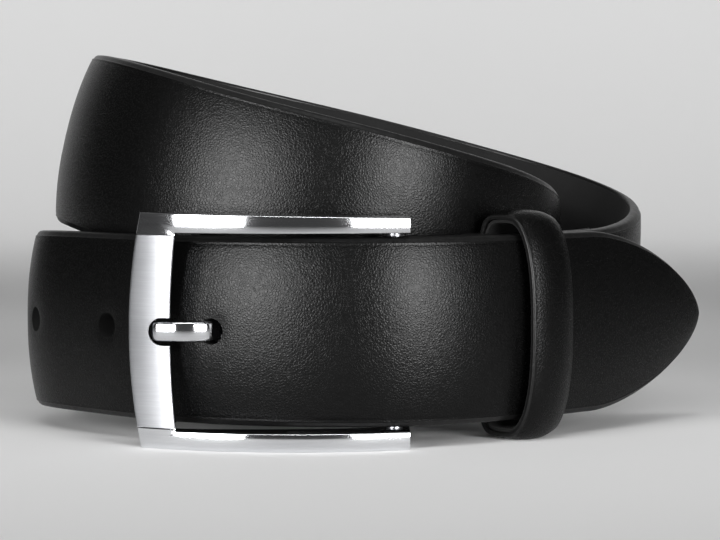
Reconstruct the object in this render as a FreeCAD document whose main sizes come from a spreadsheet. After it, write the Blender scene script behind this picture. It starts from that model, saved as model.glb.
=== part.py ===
import FreeCAD, Part
import math
import os
import Sketcher
from FreeCAD import Placement, Rotation, Vector

# A gentleman's 35 mm leather dress belt, buckled in its first hole and coiled in three turns.
# X runs along the buckle, Y into the coil, Z up. The layout below is measured from the middle of
# the buckle's front with Z from the strap's lower edge; originX, originY and restHeight move it
# so that the origin lies on the ground under the middle of the whole belt.

doc = FreeCAD.newDocument("dress_belt")
sheet = doc.addObject("Spreadsheet::Sheet", "dims")
dimensions = {
    "originX": 0.85, "originY": 59.16, "restHeight": 4.0,
    "strapWidth": 35.0, "liningThick": 1.0, "leatherThick": 1.4, "crownRise": 2.0,
    "glueGap": 0.03, "holePitch": 25.0, "holeDiameter": 5.0, "holeCount": 5, "firstHole": 877.0,
    "tipTaper": 34.0, "pinDiameter": 3.0, "pinX": 6.4, "pinY": 9.1, "pinClearance": 0.05,
    "frameLeft": -40.5, "frameRight": 9.2, "frameBottom": -4.0, "frameTop": 39.5, "frameTopEnd": 38.7,
    "windowBottom": -0.6, "windowTop": 35.8, "barWidth": 6.6, "barBow": 2.3, "facingThick": 1.2,
    "notchHeight": 5.2, "notchDepth": 4.1, "prongWidth": 3.7, "prongThick": 2.0, "prongEye": 3.0,
    "keeperWide": 11.0, "keeperHigh": 43.0, "keeperDeep": 15.4, "keeperCorner": 6.0,
    "keeperLeather": 1.5, "keeperLining": 0.8, "keeperX": 31.1, "keeperY": 21.75, "keeperTurn": -46.0,
    "threadDiameter": 0.8, "stitchPitch": 4.2,
}
for row, (name, value) in enumerate(dimensions.items(), start=1):
    sheet.set("A%d" % row, name)
    sheet.set("B%d" % row, str(value))
    sheet.setAlias("B%d" % row, name)
doc.recompute()


def dim(name):
    """The value of one cell of the sheet."""
    return float(sheet.get(name))


shift = Vector(-dim("originX"), -dim("originY"), dim("restHeight"))
halfWidth = dim("strapWidth") / 2
# The belt's thickness at its crown, and the offset of its lining's face from the middle line.
fullThick = dim("liningThick") + dim("leatherThick") + dim("crownRise")
innerFace = fullThick / 2

# The strap's middle line, from the pivot pin to the tip: x, y, height of the lower edge above the
# front's, and how far the strap leans over to the right, in degrees. The first turn climbs to lie
# on the lower strap at the left, the second lies inside it, the third runs out under both.
stations = [
    (7.7, 6.6, 0, 0), (20, 14.8, 0, 0), (36, 30.5, 0, 0), (48, 48, 0, 3), (54.6, 68, 2, 8), (53, 88, 6, 13),
    (42, 104, 10.8, 15), (24, 114, 16.2, 15), (0, 118.5, 22.6, 15), (-24, 116, 28.3, 15),
    (-44, 105, 33, 14.5), (-55, 89, 35.4, 14), (-58.5, 70, 35.6, 13.5), (-54, 48, 34.8, 13.5),
    (-41, 28.5, 31.2, 14), (-22, 18.2, 25.8, 15), (0, 16.4, 20.2, 15), (16, 23, 15.8, 15),
    (28, 36, 12, 13), (35.8, 50, 8, 9), (37.8, 66, 5, 8), (33, 82, 7.2, 12), (20, 96, 11.5, 15),
    (3, 104.5, 16.8, 16), (-18, 105.5, 23, 16), (-38, 97, 29, 15), (-50, 82, 33.4, 14),
    (-53, 64, 34.6, 13.5), (-47.5, 46, 32.6, 14), (-34, 32.5, 28, 15), (-14, 25.5, 21.5, 15),
    (5, 27.5, 15, 13), (19, 36, 9, 9), (27.5, 48, 3.5, 5), (30.5, 62, 0, 2), (26, 77, -2.5, 0),
    (12, 90, -3.8, 0), (-8, 96.5, -3.9, 0), (-29, 95, -3.9, 0), (-46, 86, -3.8, 0), (-57.5, 73, -2.4, 0),
    (-64.5, 57, -0.9, 0), (-62.4, 43, -0.2, 0), (-53.6, 30.5, 0, 0), (-41, 17.5, 0, 0),
    (-25.5, 7.6, 0, 0), (-8, 3, 0, 0), (7, 3.6, 0, 0), (20, 9.2, 0, 0), (32, 19, 0, 0),
    (44, 31, 0, 0), (56, 43.5, 0, 0), (68.7, 57.3, 0, 0),
]


def naturalSpline(knots, values):
    """Second derivatives of the natural cubic spline through values at knots."""
    count = len(knots)
    second, carry = [0.0] * count, [0.0] * count
    for i in range(1, count - 1):
        left, right = knots[i] - knots[i - 1], knots[i + 1] - knots[i]
        pivot = 2 * (left + right) - left * carry[i - 1]
        rise = (values[i + 1] - values[i]) / right - (values[i] - values[i - 1]) / left
        carry[i] = right / pivot
        second[i] = (6 * rise - left * second[i - 1]) / pivot
    for i in range(count - 2, 0, -1):
        second[i] -= carry[i] * second[i + 1]
    return second


knots = [0.0]
for before, after in zip(stations, stations[1:]):
    knots.append(knots[-1] + math.dist(before[:3], after[:3]))
columns = [[station[axis] for station in stations] for axis in range(4)]
bends = [naturalSpline(knots, column) for column in columns]


def along(distance):
    """x, y, height and lean on the spline at a distance along the stations."""
    i = max(j for j in range(len(knots) - 1) if knots[j] <= distance or j == 0)
    span = knots[i + 1] - knots[i]
    a, b = (knots[i + 1] - distance) / span, (distance - knots[i]) / span
    return [
        a * column[i] + b * column[i + 1]
        + ((a ** 3 - a) * bend[i] + (b ** 3 - b) * bend[i + 1]) * span ** 2 / 6
        for column, bend in zip(columns, bends)
    ]


def middle(distance):
    """The middle of the strap at a distance."""
    x, y, height, lean = along(distance)
    return Vector(x, y, height + halfWidth) + shift


def strapFrame(distance):
    """Middle point, direction, width direction and outward normal of the strap at a distance."""
    step = 0.05
    forward = (middle(distance + step) - middle(distance - step)).normalize()
    lean = math.radians(along(distance)[3])
    up = Vector(math.sin(lean), 0, math.cos(lean))
    across = (up - forward * up.dot(forward)).normalize()
    return middle(distance), forward, across, forward.cross(across)


def onStrap(distance, width, depth):
    """A point at a place across the width and a height above the lining's face."""
    point, forward, across, outward = strapFrame(distance)
    return point + across * width + outward * (depth - innerFace)


def throughPoints(points, parameters):
    """The spline edge through points, on given parameters."""
    curve = Part.BSplineCurve()
    curve.interpolate(Points=points, Parameters=parameters)
    return curve.toShape()


def ribbon(outline, parameters):
    """A closed solid from rows of points, one row for each corner of its section."""
    edges = [throughPoints(row, parameters) for row in outline]
    faces = [Part.makeRuledSurface(a, b) for a, b in zip(edges, edges[1:] + edges[:1])]
    for end in (0, -1):
        corners = [row[end] for row in outline]
        rim = Part.makePolygon(corners + corners[:1])
        faces.append(Part.Face(rim))
    solid = Part.makeSolid(Part.makeShell(faces))
    if solid.Volume < 0:
        solid.reverse()
    return solid


def solidNode(label, shape):
    """A document object for a shape that Part's functions made."""
    feature = doc.addObject("Part::Feature", label)
    feature.Label = label
    feature.Shape = shape
    return feature


# ---- The strap: four layers, cut to a bullet tip and pierced by the holes ----

strapStart, strapEnd = 8.0, knots[-1]
foldEnd, keeperPlace = 58.0, 28.0
taperStart = strapEnd - dim("tipTaper")
holePlaces = [dim("firstHole") - dim("holePitch") * i for i in range(int(dim("holeCount")))]


def smoothStep(value):
    """Rises smoothly from 0 to 1 as value goes from 0 to 1."""
    value = min(1.0, max(0.0, value))
    return value * value * (3 - 2 * value)


def tipNarrowing(distance):
    """The share of the full width left at a distance: a bullet shape."""
    share = max(0.0, (distance - taperStart) / dim("tipTaper"))
    return (1 - share ** 1.6) ** 0.62


def crownShare(distance):
    """How much of the crown is there: none at the skived buckle end and at the tip."""
    return smoothStep((distance - strapStart) / 18) * tipNarrowing(distance)


def spaced(first, last, pitch):
    """Evenly spaced distances from first to last, about a pitch apart."""
    count = max(1, round(abs(last - first) / pitch))
    return [first + (last - first) * i / count for i in range(count + 1)]


def layer(corners, distances):
    """Rows of points for a layer: each corner is a width share, a flat depth and a crown share."""
    rows = []
    for width, depth, crown in corners:
        rows.append([
            onStrap(place, width * halfWidth * tipNarrowing(place),
                    depth + crown * dim("crownRise") * crownShare(place))
            for place in distances
        ])
    return rows


lining, leather, gap = dim("liningThick"), dim("leatherThick"), dim("glueGap")
bodyPlaces = spaced(strapStart, taperStart, 7.5)
tipPlaces = spaced(taperStart, strapEnd - 4, 3.0)[1:] + [strapEnd - 2, strapEnd - 0.8, strapEnd - 0.15]
liningCorners = [(-1, 0, 0), (1, 0, 0), (1, lining - gap, 0), (-1, lining - gap, 0)]
crownCorners = [(1, 0), (0.7, 0.55), (0.3, 0.94), (-0.3, 0.94), (-0.7, 0.55), (-1, 0)]
hollowCorners = [(-0.84, 0), (-0.3, 0.9), (0.3, 0.9), (0.84, 0)]
leatherCorners = [(width, lining + leather, crown) for width, crown in crownCorners]
leatherCorners += [(-1, lining, 0)]
leatherCorners += [(width, lining, crown) for width, crown in hollowCorners]
leatherCorners += [(1, lining, 0)]


def legDepth(distance):
    """How far behind the lining's face the return leg lies: it stands off round the keeper."""
    reach = abs(distance - keeperPlace)
    return -0.3 - 3.1 * smoothStep((13.5 - reach) / 6.5)


def foldRows():
    """The skived leather's way round the pin and back along the lining, with room for the keeper."""
    _, forward, across, outward = strapFrame(0)
    pin = Vector(dim("pinX"), dim("pinY"), halfWidth) + shift
    inside = dim("pinDiameter") / 2 + 0.1
    carriers = []
    for distance in spaced(foldEnd, 9, 2.6):
        point, _, side, normal = strapFrame(distance)
        carriers.append((point + normal * (legDepth(distance) - innerFace), side, normal * -1))
    for degrees in (-95, -125, -155, 175, 145, 115, 90):
        turn = math.radians(degrees)
        normal = forward * math.cos(turn) + outward * math.sin(turn)
        carriers.append((pin + normal * inside, across, normal))
    carriers.append((onStrap(4, 0, lining), across, strapFrame(4)[3]))
    return [
        [point + side * (width * halfWidth) + normal * thick for point, side, normal in carriers]
        for width, thick in [(width, leather) for width, _ in crownCorners]
        + [(-1, 0)] + [(width, 0) for width, _ in hollowCorners] + [(1, 0)]
    ]


def leatherSolid():
    """Top leather: crowned along the coil, flat round the pin."""
    places = bodyPlaces + tipPlaces
    fold = foldRows()
    rows = [a + b for a, b in zip(fold, layer(leatherCorners, places))]
    middleRow = rows[8]
    parameters = [0.0]
    for before, after in zip(middleRow, middleRow[1:]):
        parameters.append(parameters[-1] + (after - before).Length)
    return ribbon(rows, parameters)


def layerSolid(corners, places):
    return ribbon(layer(corners, places), places)


def holeTool(place, radius):
    """A pin through the belt at a hole."""
    point, _, _, outward = strapFrame(place)
    return Part.makeCylinder(radius, 4 * fullThick, point - outward * (2 * fullThick), outward)


holes = [holeTool(place, dim("holeDiameter") / 2) for place in holePlaces]
slot = Part.makeBox(9, 9, 5.4, Vector(dim("pinX") - 5.2, dim("pinY") - 4.5, halfWidth - 2.7) + shift)
fillerPlaces = spaced(strapStart + 11, taperStart, 7.5) + spaced(taperStart, strapEnd - 14, 3.0)[1:]
boardCorners = [(-0.78, lining + gap, 0.02), (0.78, lining + gap, 0.02),
                (0.7, lining + gap, 0.2), (-0.7, lining + gap, 0.2)]
fillerCorners = [(-0.66, lining + gap, 0.26), (0.66, lining + gap, 0.26),
                 (0.28, lining - gap, 0.87), (-0.28, lining - gap, 0.87)]
solidNode("strap_top_leather", leatherSolid().cut(holes + [slot]))
solidNode("strap_lining", layerSolid(liningCorners, bodyPlaces + tipPlaces).cut(holes))
solidNode("strap_backing_board", layerSolid(boardCorners, fillerPlaces).cut(holes))
solidNode("strap_crown_filler", layerSolid(fillerCorners, fillerPlaces).cut(holes))


# ---- The fold's stitching: two rows through the return leg, one on each side of the keeper ----

def stitchRow(place, depth):
    """One row of stitches lying across the return leg."""
    point, _, side, normal = strapFrame(place)
    pitch, radius = dim("stitchPitch"), dim("threadDiameter") / 2
    face = point + normal * (depth - innerFace - radius - 3 * gap)
    starts = [face + side * (pitch * (i - 3.5) + 0.5) for i in range(7)]
    return [Part.makeCylinder(radius, pitch - 1.0, start, side) for start in starts]


solidNode("fold_stitching", Part.makeCompound(
    stitchRow(keeperPlace - 16.5, legDepth(keeperPlace - 16.5) - leather)
    + stitchRow(keeperPlace + 19, legDepth(keeperPlace + 19) - leather)))


# ---- Sketch helpers ----

def bodyWithSketch(name, planeRole):
    """A body and a sketch on one of its own origin planes."""
    body = doc.addObject("PartDesign::Body", name)
    plane = next(f for f in body.Origin.OriginFeatures if f.Role == planeRole)
    sketch = body.newObject("Sketcher::SketchObject", name + "_sketch")
    sketch.AttachmentSupport = [(plane, "")]
    sketch.MapMode = "FlatFace"
    return body, sketch


def pinPoint(sketch, geometry, point, place, corner):
    """Hold one end of a sketch edge at a corner whose place follows the sheet."""
    for kind, value, expression in (("DistanceX", place.x, corner[0]), ("DistanceY", place.y, corner[1])):
        index = sketch.addConstraint(Sketcher.Constraint(kind, -1, 1, geometry, point, value))
        sketch.setExpression("Constraints[%d]" % index, expression)


def outline(sketch, corners, bows=None):
    """A closed outline through corners given as expressions; a side with a bow is an arc."""
    bows = bows or {}
    points = [Vector(float(sketch.evalExpression(x)), float(sketch.evalExpression(y)), 0)
              for x, y in corners]
    for i, corner in enumerate(corners):
        j = (i + 1) % len(corners)
        ends = [(points[i], corner), (points[j], corners[j])]
        if i in bows:
            through = Vector(*bows[i], 0)
            arc = Part.Arc(points[i], through, points[j])
            if arc.toShape().Curve.Axis.z < 0:
                ends.reverse()
                arc = Part.Arc(points[j], through, points[i])
            index = sketch.addGeometry(arc, False)
        else:
            index = sketch.addGeometry(Part.LineSegment(points[i], points[j]), False)
        for point, (place, expressions) in enumerate(ends, start=1):
            pinPoint(sketch, index, point, place, expressions)


def pad(body, sketch, length, both=False):
    feature = body.newObject("PartDesign::Pad", body.Name + "_pad")
    feature.Profile = sketch
    feature.setExpression("Length", length)
    feature.Midplane = both
    return feature


# ---- The buckle: a front outline and a plan outline, extruded and intersected ----

frontBody, frontSketch = bodyWithSketch("frame_front_view", "XZ_Plane")
outline(frontSketch, [
    ("dims.frameLeft", "dims.frameBottom"), ("dims.frameRight", "dims.frameBottom"),
    ("dims.frameRight", "dims.windowBottom"), ("dims.frameLeft + dims.barWidth", "dims.windowBottom"),
    ("dims.frameLeft + dims.barWidth", "dims.windowTop"), ("dims.frameRight", "dims.windowTop"),
    ("dims.frameRight", "dims.frameTopEnd"), ("dims.frameLeft", "dims.frameTop"),
], {3: (dim("frameLeft") + dim("barWidth") - 1.0, 17.6), 7: (dim("frameLeft") - dim("barBow"), 17.6)})
pad(frontBody, frontSketch, "60", both=True)

planBody, planSketch = bodyWithSketch("frame_plan_view", "XY_Plane")
outline(planSketch, [
    ("dims.frameRight", "1.8"), ("dims.frameRight", "11.8"), ("dims.frameLeft - 3.5", "10.6"),
    ("dims.frameLeft - 3.5", "8.2"),
], {1: (-16, 6.2), 3: (-17, -2.2)})
pad(planBody, planSketch, "120", both=True)
for body in (frontBody, planBody):
    body.Placement = Placement(shift, Rotation())

facing = doc.addObject("Part::Box", "facing_zone")
facing.setExpression("Length", "dims.barWidth + 6")
facing.setExpression("Width", "12")
facing.setExpression("Height", "dims.windowTop - dims.windowBottom - 0.5")
facing.Placement = Placement(
    shift + Vector(dim("frameLeft") - 4, -2, dim("windowBottom") + 0.25), Rotation())


def boolean(kind, label, base, tool):
    """A boolean of two document objects."""
    feature = doc.addObject("Part::" + kind, label)
    feature.Label = label
    if kind == "MultiCommon":
        feature.Shapes = [base, tool]
    else:
        feature.Base = base
        feature.Tool = tool
    return feature


def cylinder(name, radius, height, place, turn=None):
    feature = doc.addObject("Part::Cylinder", name)
    feature.setExpression("Radius", radius)
    feature.setExpression("Height", height)
    feature.Placement = Placement(shift + place, turn or Rotation())
    return feature


def box(name, sizes, place):
    feature = doc.addObject("Part::Box", name)
    for side, size in zip(("Length", "Width", "Height"), sizes):
        feature.setExpression(side, size)
    feature.Placement = Placement(shift + place, Rotation())
    return feature


facePlan, facePlanSketch = bodyWithSketch("facing_plan_view", "XY_Plane")
outline(facePlanSketch, [
    ("dims.frameRight", "1.8 + dims.facingThick"), ("dims.frameRight", "-14"),
    ("dims.frameLeft - 3.5", "-14"), ("dims.frameLeft - 3.5", "8.2 + dims.facingThick"),
], {3: (-17, -2.2 + dim("facingThick"))})
pad(facePlan, facePlanSketch, "120", both=True)
facePlan.Placement = Placement(shift, Rotation())

blank = boolean("MultiCommon", "frame_blank", frontBody, planBody)
notchLevel = (dim("windowTop") + dim("windowBottom")) / 2
notchEnd = dim("frameLeft") + dim("barWidth") - dim("notchDepth") - 1.0
along_y = Rotation(Vector(1, 0, 0), -90)
notchRound = cylinder("notch_round", "dims.notchHeight / 2", "40",
                      Vector(notchEnd + dim("notchHeight") / 2, -15, notchLevel), along_y)
notchBox = box("notch_box", ("dims.notchDepth", "40", "dims.notchHeight"),
               Vector(notchEnd + dim("notchHeight") / 2, -15, notchLevel - dim("notchHeight") / 2))
notchTool = boolean("Fuse", "notch_tool", notchRound, notchBox)
notched = boolean("Cut", "frame_notched", blank, notchTool)
faceZone = boolean("MultiCommon", "facing_block", facing, facePlan)
frameBody = boolean("Cut", "frame_without_facing", notched, faceZone)
pinPlace = Vector(dim("pinX"), dim("pinY"), -2.6)
pinHole = cylinder("pin_hole", "dims.pinDiameter / 2", "40", pinPlace)
boolean("Cut", "buckle_frame", frameBody, pinHole)
boolean("MultiCommon", "bar_facing", notched, faceZone)
cylinder("pivot_pin", "dims.pinDiameter / 2", "40", pinPlace)


# ---- The prong: a bent bar that grips the pin, passes through the hole and lies in the notch ----

def bentWire(points, radii):
    """Straight runs through points, joined by tangent arcs of the given radii."""
    edges, start = [], points[0]
    for i in range(1, len(points) - 1):
        before = (points[i - 1] - points[i]).normalize()
        after = (points[i + 1] - points[i]).normalize()
        half = before.getAngle(after) / 2
        reach = radii[i - 1] / math.tan(half)
        bisector = (before + after).normalize()
        centre = points[i] + bisector * (radii[i - 1] / math.sin(half))
        first, last = points[i] + before * reach, points[i] + after * reach
        edges.append(Part.LineSegment(start, first).toShape())
        edges.append(Part.Arc(first, centre - bisector * radii[i - 1], last).toShape())
        start = last
    edges.append(Part.LineSegment(start, points[-1]).toShape())
    return Part.Wire(edges)


prongRoute = [(dim("pinX") - 1.5, dim("pinY") + 0.6), (-17, 12.3), (-24.7, 12.3), (-28.2, 5.3),
              (-32.4, 3.9), (-36.9, 5.2)]
prongWire = bentWire([Vector(x, y, 0) + shift for x, y in prongRoute], [20, 1.6, 2.2, 8])
prongFlat = prongWire.makeOffset2D(dim("prongThick") / 2)
prongBar = Part.Face(prongFlat).extrude(Vector(0, 0, dim("prongWidth")))
prongBar.translate(Vector(0, 0, notchLevel - dim("prongWidth") / 2))
prongShank = solidNode("prong_shank", prongBar)
eyePlace = Vector(dim("pinX"), dim("pinY"), notchLevel - dim("prongWidth") / 2)
prongEye = cylinder("prong_eye", "dims.prongEye", "dims.prongWidth", eyePlace)
prongBlank = boolean("Fuse", "prong_blank", prongShank, prongEye)
prongBore = cylinder("prong_bore", "dims.pinDiameter / 2 + dims.pinClearance", "40", pinPlace)
boolean("Cut", "prong", prongBlank, prongBore)


# ---- The keeper: a leather band and its lining ----

def ringBody(label, inset, thick, wide):
    """A band of rounded rectangular outline, inset from the keeper's outside."""
    body, sketch = bodyWithSketch(label, "XZ_Plane")
    for shrink in (inset, inset + thick):
        roundedOutline(sketch, dim("keeperDeep") / 2 - shrink, dim("keeperHigh") / 2 - shrink,
                       dim("keeperCorner") - shrink)
    pad(body, sketch, wide, both=True)
    body.Label = label
    middleHeight = dim("keeperHigh") / 2 - 3.9
    place = Vector(dim("keeperX"), dim("keeperY"), middleHeight)
    body.Placement = Placement(shift + place, Rotation(Vector(0, 0, 1), dim("keeperTurn")))
    return body


def roundedOutline(sketch, halfDeep, halfHigh, corner):
    """A rounded rectangle about the sketch's origin."""
    flatX, flatY, turn = halfDeep - corner, halfHigh - corner, corner * math.sqrt(0.5)
    for sideX, sideY in ((1, 1), (-1, 1), (-1, -1), (1, -1)):
        centreX, centreY = sideX * flatX, sideY * flatY
        sketch.addGeometry(Part.Arc(
            Vector(sideX * halfDeep, centreY, 0),
            Vector(centreX + sideX * turn, centreY + sideY * turn, 0),
            Vector(centreX, sideY * halfHigh, 0)), False)
    for side in (1, -1):
        sketch.addGeometry(Part.LineSegment(
            Vector(side * halfDeep, -flatY, 0), Vector(side * halfDeep, flatY, 0)), False)
        sketch.addGeometry(Part.LineSegment(
            Vector(-flatX, side * halfHigh, 0), Vector(flatX, side * halfHigh, 0)), False)


ringBody("keeper_band", 0.0, dim("keeperLeather"), "dims.keeperWide")
ringBody("keeper_lining", dim("keeperLeather") + gap, dim("keeperLining"), "dims.keeperWide - 0.6")


# ---- Check every object, then write each piece ----

doc.recompute()
pieces = ["strap_top_leather", "strap_crown_filler", "strap_backing_board", "strap_lining",
          "fold_stitching", "buckle_frame", "bar_facing", "pivot_pin", "prong", "keeper_band",
          "keeper_lining"]
for item in doc.Objects:
    if "Invalid" in item.State or "Error" in item.State:
        raise RuntimeError("%s failed: %s" % (item.Label, item.State))
os.makedirs("parts", exist_ok=True)
for piece in pieces:
    shape = doc.getObjectsByLabel(piece)[0].Shape
    if shape.isNull() or not shape.isValid():
        raise RuntimeError("%s has no valid shape" % piece)
for piece in pieces:
    shape = doc.getObjectsByLabel(piece)[0].Shape
    shape.exportStep("parts/%s.step" % piece)
    print("%-22s %2d solids %9.1f mm3" % (piece, len(shape.Solids), shape.Volume))
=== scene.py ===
import math
import bmesh
import bpy
import numpy as np
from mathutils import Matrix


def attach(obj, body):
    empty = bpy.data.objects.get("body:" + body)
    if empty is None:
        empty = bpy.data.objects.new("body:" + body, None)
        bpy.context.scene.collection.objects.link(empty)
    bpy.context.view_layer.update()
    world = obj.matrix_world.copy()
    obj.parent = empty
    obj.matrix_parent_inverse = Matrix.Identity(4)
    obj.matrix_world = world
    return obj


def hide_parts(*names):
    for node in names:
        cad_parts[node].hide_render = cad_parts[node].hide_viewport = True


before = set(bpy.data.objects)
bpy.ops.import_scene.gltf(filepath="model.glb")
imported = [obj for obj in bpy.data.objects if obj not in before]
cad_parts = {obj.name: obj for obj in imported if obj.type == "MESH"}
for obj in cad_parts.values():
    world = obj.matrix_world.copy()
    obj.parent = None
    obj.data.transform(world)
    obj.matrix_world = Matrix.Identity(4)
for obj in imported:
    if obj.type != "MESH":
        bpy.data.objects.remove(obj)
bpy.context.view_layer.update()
mm = 0.001

print("belt: the strap's route")

# where the layout's own zero lies in the frame, in mm
layout = {"x": -0.85, "y": -59.16, "z": 4.0}

# The strap's middle line from the pivot pin to the tip, in mm in the layout:
# x, y, height of the lower edge, lean to the right in degrees.
route = np.array([
    (7.7, 6.6, 0, 0), (20, 14.8, 0, 0), (36, 30.5, 0, 0), (48, 48, 0, 3), (54.6, 68, 2, 8), (53, 88, 6, 13),
    (42, 104, 10.8, 15), (24, 114, 16.2, 15), (0, 118.5, 22.6, 15), (-24, 116, 28.3, 15),
    (-44, 105, 33, 14.5), (-55, 89, 35.4, 14), (-58.5, 70, 35.6, 13.5), (-54, 48, 34.8, 13.5),
    (-41, 28.5, 31.2, 14), (-22, 18.2, 25.8, 15), (0, 16.4, 20.2, 15), (16, 23, 15.8, 15),
    (28, 36, 12, 13), (35.8, 50, 8, 9), (37.8, 66, 5, 8), (33, 82, 7.2, 12), (20, 96, 11.5, 15),
    (3, 104.5, 16.8, 16), (-18, 105.5, 23, 16), (-38, 97, 29, 15), (-50, 82, 33.4, 14),
    (-53, 64, 34.6, 13.5), (-47.5, 46, 32.6, 14), (-34, 32.5, 28, 15), (-14, 25.5, 21.5, 15),
    (5, 27.5, 15, 13), (19, 36, 9, 9), (27.5, 48, 3.5, 5), (30.5, 62, 0, 2), (26, 77, -2.5, 0),
    (12, 90, -3.8, 0), (-8, 96.5, -3.9, 0), (-29, 95, -3.9, 0), (-46, 86, -3.8, 0), (-57.5, 73, -2.4, 0),
    (-64.5, 57, -0.9, 0), (-62.4, 43, -0.2, 0), (-53.6, 30.5, 0, 0), (-41, 17.5, 0, 0),
    (-25.5, 7.6, 0, 0), (-8, 3, 0, 0), (7, 3.6, 0, 0), (20, 9.2, 0, 0), (32, 19, 0, 0),
    (44, 31, 0, 0), (56, 43.5, 0, 0), (68.7, 57.3, 0, 0),
])

strap = {
    "halfWidth": 17.5, "edgeThick": 2.4, "crownRise": 2.0, "crownPower": 2.3, "edgeRound": 1.1,
    "start": 8.0, "crownRun": 18.0, "tipTaper": 34.0, "middle": 2.2,
    "leatherBack": 1.0, "tipPower": 1.6, "tipShape": 0.62,
    "firstHole": 877.0, "holePitch": 25.0, "holeCount": 5, "holeRadius": 2.5,
}

knots = np.concatenate([[0], np.cumsum(np.linalg.norm(np.diff(route[:, :3], axis=0), axis=1))])


def splineBends(places, values):
    # second derivatives of the natural cubic spline: one tridiagonal system for all columns
    spans = np.diff(places)
    system = np.eye(len(places))
    right = np.zeros_like(values)
    for i in range(1, len(places) - 1):
        system[i, i - 1:i + 2] = spans[i - 1], 2 * (spans[i - 1] + spans[i]), spans[i]
        right[i] = 6 * ((values[i + 1] - values[i]) / spans[i] - (values[i] - values[i - 1]) / spans[i - 1])
    return np.linalg.solve(system, right)


bends = splineBends(knots, route)


def along(distance):
    # the cubic through the route at distances: linear blend plus the bends' cubic share
    i = np.clip(np.searchsorted(knots, distance, side="right") - 1, 0, len(knots) - 2)
    span = (knots[i + 1] - knots[i])[..., None]
    a = (knots[i + 1] - distance)[..., None] / span
    b = 1 - a
    bent = ((a ** 3 - a) * bends[i] + (b ** 3 - b) * bends[i + 1]) * span ** 2 / 6
    return a * route[i] + b * route[i + 1] + bent


def unit(vectors):
    # each vector over its own length
    return vectors / np.linalg.norm(vectors, axis=-1, keepdims=True)


def middleLine(distance):
    # the strap's middle: the route, moved into the frame and raised by half the width
    place = along(distance)[..., :3]
    return place + np.array([layout["x"], layout["y"], layout["z"] + strap["halfWidth"]])


def strapFrame(distance):
    # middle point, direction, width direction and outward normal of the strap at distances
    forward = unit(middleLine(distance + 0.05) - middleLine(distance - 0.05))
    lean = np.radians(along(distance)[..., 3])
    up = np.stack([np.sin(lean), np.zeros_like(lean), np.cos(lean)], axis=-1)
    across = unit(up - forward * (up * forward).sum(-1, keepdims=True))
    return middleLine(distance), forward, across, np.cross(forward, across)


def smoothStep(value):
    # 3 v ^ 2 - 2 v ^ 3, level at 0 and at 1
    value = np.clip(value, 0, 1)
    return value * value * (3 - 2 * value)


def gridMesh(name, grid, closeAcross=False, closeAlong=False, caps=False):
    # quads between neighbouring grid points; a cap is one face round the first or last row
    rows, columns = grid.shape[:2]
    rowIndex = np.arange(rows if closeAlong else rows - 1)[:, None]
    columnIndex = np.arange(columns if closeAcross else columns - 1)[None, :]
    nextRow, nextColumn = (rowIndex + 1) % rows, (columnIndex + 1) % columns
    quads = np.stack([rowIndex * columns + columnIndex, rowIndex * columns + nextColumn,
                      nextRow * columns + nextColumn, nextRow * columns + columnIndex], axis=-1)
    faces = quads.reshape(-1, 4).tolist()
    if caps:
        faces += [list(range(columns))[::-1], list(range((rows - 1) * columns, rows * columns))]
    mesh = bpy.data.meshes.new(name)
    mesh.from_pydata((grid.reshape(-1, 3) * mm).tolist(), [], faces)
    mesh.validate()
    piece = bpy.data.objects.new(name, mesh)
    bpy.context.scene.collection.objects.link(piece)
    return piece


def smoothShell(piece, smoothDegrees):
    # smooths every face and keeps the edges sharper than an angle
    piece.data.polygons.foreach_set("use_smooth", np.ones(len(piece.data.polygons), dtype=bool))
    piece.data.set_sharp_from_angle(angle=math.radians(smoothDegrees))
    return piece


def tidyShell(piece, merge=0.001, smoothDegrees=40):
    # merges points closer than merge mm, turns every face outwards and smooths all but the hard edges
    shell = bmesh.new()
    shell.from_mesh(piece.data)
    bmesh.ops.remove_doubles(shell, verts=shell.verts, dist=merge * mm)
    bmesh.ops.recalc_face_normals(shell, faces=shell.faces)
    shell.to_mesh(piece.data)
    shell.free()
    return smoothShell(piece, smoothDegrees)


def cutAway(piece, tools, smoothDegrees=35):
    # takes closed tools out of a piece, one exact boolean each, and removes the tools
    for tool in tools:
        cut = piece.modifiers.new("cut", "BOOLEAN")
        cut.operation, cut.solver, cut.object = "DIFFERENCE", "EXACT", tool
        bpy.context.view_layer.objects.active = piece
        bpy.ops.object.modifier_apply(modifier=cut.name)
        bpy.data.objects.remove(tool)
    return smoothShell(piece, smoothDegrees)


def sectionTube(name, frames, section, closeAlong=False):
    # carries a closed section along frames: point = place + side * section x + lift * section y
    place, side, lift = frames
    grid = place[:, None] + side[:, None] * section[..., 0:1] + lift[:, None] * section[..., 1:2]
    return gridMesh(name, grid, closeAcross=True, closeAlong=closeAlong, caps=not closeAlong)


def paintColumns(piece, columns, rules):
    # gives the faces of some columns of a section mesh their own material slot
    count = len(piece.data.polygons)
    slots = np.zeros(count, dtype=np.int32)
    column = np.arange(count) % columns
    for index, chosen in rules.items():
        slots[np.isin(column, chosen)] = index
    piece.data.polygons.foreach_set("material_index", slots)


def linear(hexColour):
    # sRGB hex to the linear colour that the shader wants
    channels = np.array([int(hexColour[i:i + 2], 16) for i in (1, 3, 5)]) / 255
    low, high = channels / 12.92, ((channels + 0.055) / 1.055) ** 2.4
    return tuple(np.where(channels <= 0.04045, low, high).tolist()) + (1.0,)


def perMetre(size):
    # a texture's scale: how many features of a size in mm fit in a metre
    return (1 / (np.array(size) * mm)).tolist()


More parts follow.
